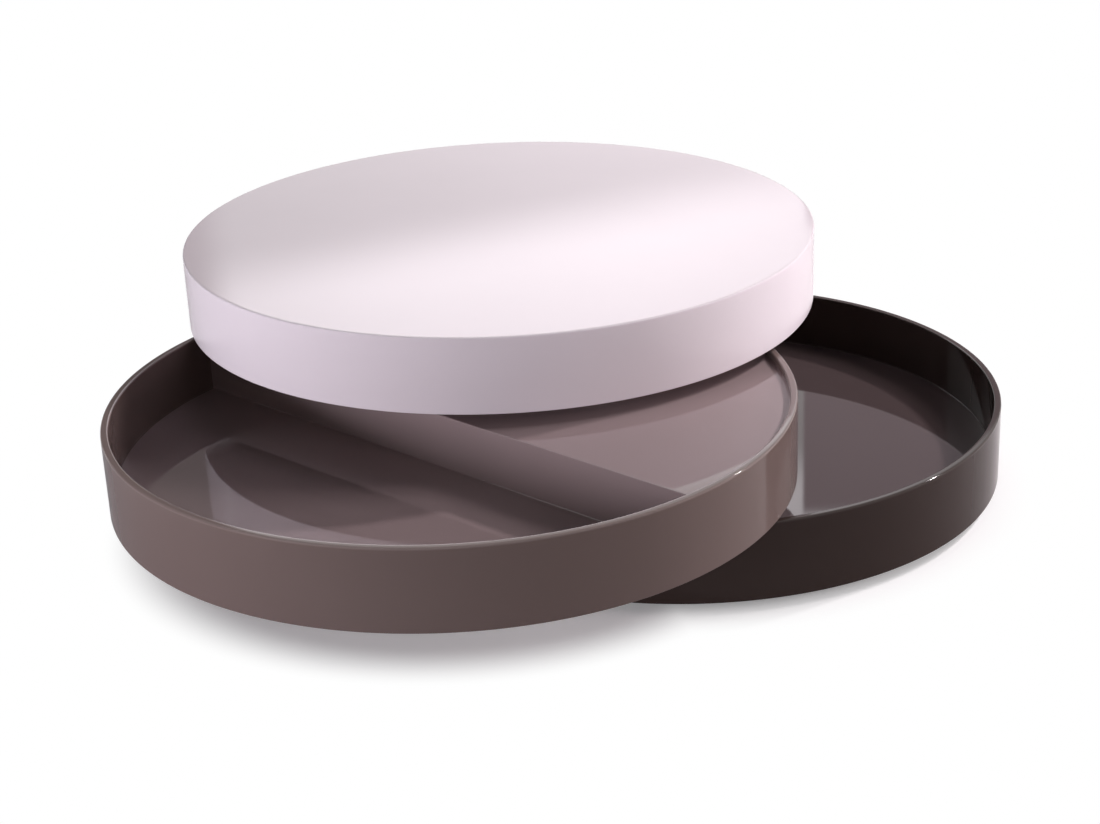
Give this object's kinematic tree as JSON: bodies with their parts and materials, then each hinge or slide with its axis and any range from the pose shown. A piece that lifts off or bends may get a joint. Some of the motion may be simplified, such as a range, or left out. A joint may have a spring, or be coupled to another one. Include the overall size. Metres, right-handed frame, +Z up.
{
  "type": "swivel coffee table",
  "caption": "Low round coffee table of lacquered tiers: a closed top over trays that swing out on one off-centre upright swivel, one tray with a raised deck beside a deep compartment.",
  "frame": {"origin": "on the floor, under the middle of the box that the spread tiers fill", "axes": "+Z up, +X to the right and +Y away from the picture's camera; the rest pose is the picture's, with the tiers swung apart"},
  "size_m": [1.0852, 1.1121, 0.316],
  "materials": {
    "brown_lacquer": "dark brown polished lacquer over board",
    "taupe_lacquer": "taupe polished lacquer over board",
    "white_lacquer": "white satin-gloss lacquer over board",
    "raw_board": "bare fibreboard",
    "black_board": "black stained fibreboard",
    "bearing_aluminium": "turned, natural",
    "ball_steel": "polished bearing steel",
    "fastener_steel": "zinc plated",
    "plate_steel": "matt black powder coat on steel plate",
    "glide_plastic": "moulded, matt black",
    "pad_felt": "dense grey felt"
  },
  "bodies": {
    "base": {"base_wall": "brown_lacquer", "base_floor": "brown_lacquer", "base_hub": "brown_lacquer", "hub_screws": "fastener_steel", "ballast_plate": "plate_steel", "ballast_screws": "fastener_steel", "floor_glides": "glide_plastic", "glide_screws": "fastener_steel", "glide_pads": "pad_felt", "lower_bearing_outer_ring": "bearing_aluminium", "lower_bearing_balls": "ball_steel", "lower_bearing_bolts": "fastener_steel"},
    "middle": {"middle_wall": "taupe_lacquer", "middle_floor": "taupe_lacquer", "middle_drum": "raw_board", "middle_riser": "taupe_lacquer", "middle_deck": "taupe_lacquer", "deck_ledger": "raw_board", "bearing_spacer": "black_board", "lower_bearing_inner_ring": "bearing_aluminium", "lower_bearing_screws": "fastener_steel", "upper_bearing_outer_ring": "bearing_aluminium", "upper_bearing_balls": "ball_steel", "upper_bearing_bolts": "fastener_steel"},
    "top": {"top_panel": "white_lacquer", "top_skirt": "white_lacquer", "top_underside": "white_lacquer", "top_drum": "raw_board", "top_ribs": "raw_board", "upper_bearing_inner_ring": "bearing_aluminium", "upper_bearing_screws": "fastener_steel"}
  },
  "joints": [
    {"name": "middle_swivel", "type": "hinge", "parent": "base", "child": "middle", "pos_m": [-0.0163, -0.01824, 0.115], "axis": [0, 0, 1], "continuous": true},
    {"name": "top_swivel", "type": "hinge", "parent": "middle", "child": "top", "pos_m": [-0.0163, -0.01824, 0.219], "axis": [0, 0, 1], "continuous": true}
  ]
}
